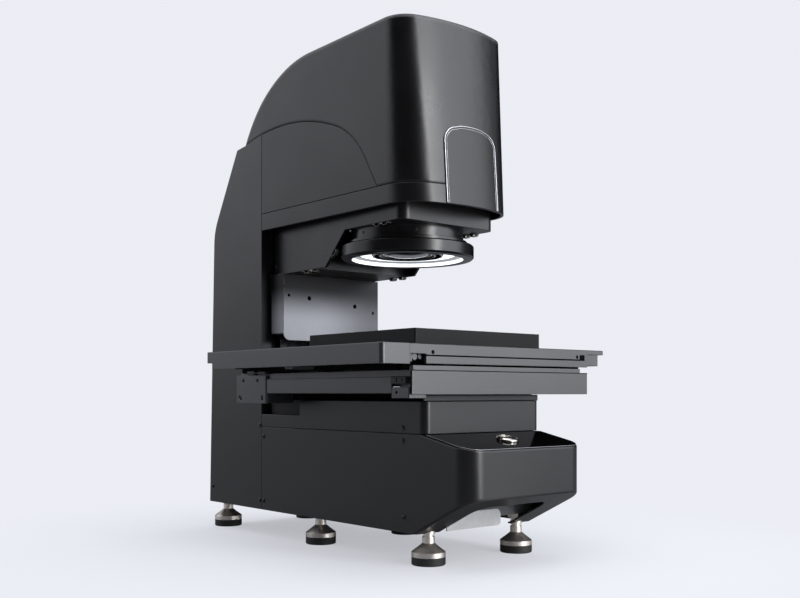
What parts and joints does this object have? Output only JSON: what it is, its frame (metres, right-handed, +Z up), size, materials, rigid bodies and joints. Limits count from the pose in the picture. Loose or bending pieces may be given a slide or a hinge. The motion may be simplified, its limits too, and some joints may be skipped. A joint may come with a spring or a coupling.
{
  "type": "vision measuring machine",
  "caption": "Bench vision measuring machine: moving stage with parts tray under a motorised head with telecentric lens and ring light on a tall covered column.",
  "frame": {"origin": "on the floor plane, midway between the sides of the stage and midway between the rear of the column and the front of the base", "axes": "+X to the machine's right side seen from the front, -Y towards the operator, +Z up"},
  "size_m": [0.464, 0.709, 0.8142],
  "materials": {
    "satin_black": "satin powder coat",
    "cast_grey": "painted casting",
    "anodised_dark": "dark anodised",
    "tray_black": "matt black",
    "gloss_black": "gloss",
    "plate_grey": "bead blasted",
    "bright_metal": "nickel plated",
    "steel": "ground",
    "black_plastic": "moulded",
    "motor_black": "black anodised",
    "rubber": "matt",
    "lamp_white": "opal",
    "glass": "polished"
  },
  "bodies": {
    "frame": {"base_casting": "cast_grey", "column_casting": "cast_grey", "y_bed": "cast_grey", "base_cover": "satin_black", "control_panel": "gloss_black", "power_button_ring": "bright_metal", "power_switch": "black_plastic", "riser_cover": "satin_black", "column_cover": "satin_black", "column_front_panel": "satin_black", "hood": "satin_black", "cheek_left": "satin_black", "cheek_right": "satin_black", "head_skirt": "satin_black", "badge_plate": "gloss_black", "y_rails": "steel", "z_rails": "steel", "z_motor": "motor_black", "y_motor": "motor_black", "screw_supports": "steel", "profile_lamp": "motor_black", "foot_pads": "rubber", "foot_studs": "bright_metal", "foot_nuts": "bright_metal", "connector_panel": "satin_black", "power_inlet": "black_plastic", "data_sockets": "black_plastic"},
    "start_button": {"power_button": "bright_metal"},
    "saddle": {"y_saddle": "anodised_dark", "saddle_front_cover": "satin_black", "saddle_side_strips": "satin_black", "saddle_end_clip": "satin_black", "saddle_drive_housing": "satin_black", "y_guide_blocks": "steel", "x_guide_blocks": "steel", "x_nut": "steel", "y_nut": "steel"},
    "table": {"x_table": "anodised_dark", "table_glass": "glass", "table_end_cover": "satin_black", "table_end_block": "satin_black", "table_roller_bracket": "steel", "x_rails": "steel", "x_screw_bearings": "steel", "x_motor": "motor_black"},
    "tray": {"parts_tray": "tray_black"},
    "head": {"z_arm": "satin_black", "z_carriage": "plate_grey", "carriage_shroud": "plate_grey", "z_guide_blocks": "steel", "z_nut": "steel", "ring_light_mount": "satin_black", "ring_light_housing": "satin_black", "ring_light_diffuser": "lamp_white", "lens_barrel": "motor_black", "lens_window": "glass", "camera": "motor_black"},
    "x_drive_screw": {"x_screw": "steel"},
    "y_drive_screw": {"y_screw": "steel"},
    "z_drive_screw": {"z_screw": "steel"}
  },
  "joints": [
    {"name": "y_slide", "type": "slide", "parent": "frame", "child": "saddle", "axis": [0, 1, 0], "range_m": [-0.195, 0.003]},
    {"name": "x_slide", "type": "slide", "parent": "saddle", "child": "table", "axis": [1, 0, 0], "range_m": [-0.1, 0.1]},
    {"name": "z_slide", "type": "slide", "parent": "frame", "child": "head", "axis": [0, 0, 1], "range_m": [-0.012, 0.15]},
    {"name": "tray_lift", "type": "slide", "parent": "table", "child": "tray", "axis": [0, 0, 1], "range_m": [0, 0.08]},
    {"name": "start_button_press", "type": "slide", "parent": "frame", "child": "start_button", "axis": [0, -0.2044, 0.9789], "range_m": [-0.0025, 0], "stiffness_N_per_m": 900, "springref_m": 0.0012},
    {"name": "y_screw_spin", "type": "hinge", "parent": "frame", "child": "y_drive_screw", "pos_m": [0.051, 0, 0.2215], "axis": [0, 1, 0], "range_deg": [-7040, 128]},
    {"name": "x_screw_spin", "type": "hinge", "parent": "table", "child": "x_drive_screw", "pos_m": [0, -0.068, 0.297], "axis": [1, 0, 0], "range_deg": [-3620, 3620]},
    {"name": "z_screw_spin", "type": "hinge", "parent": "frame", "child": "z_drive_screw", "pos_m": [0, 0.192, 0], "axis": [0, 0, 1], "range_deg": [-452, 5420]}
  ],
  "couplings": [
    {"joint": "y_screw_spin", "follows": "y_slide", "rad_per_m": 628.32},
    {"joint": "x_screw_spin", "follows": "x_slide", "rad_per_m": 628.32},
    {"joint": "z_screw_spin", "follows": "z_slide", "rad_per_m": 628.32}
  ]
}
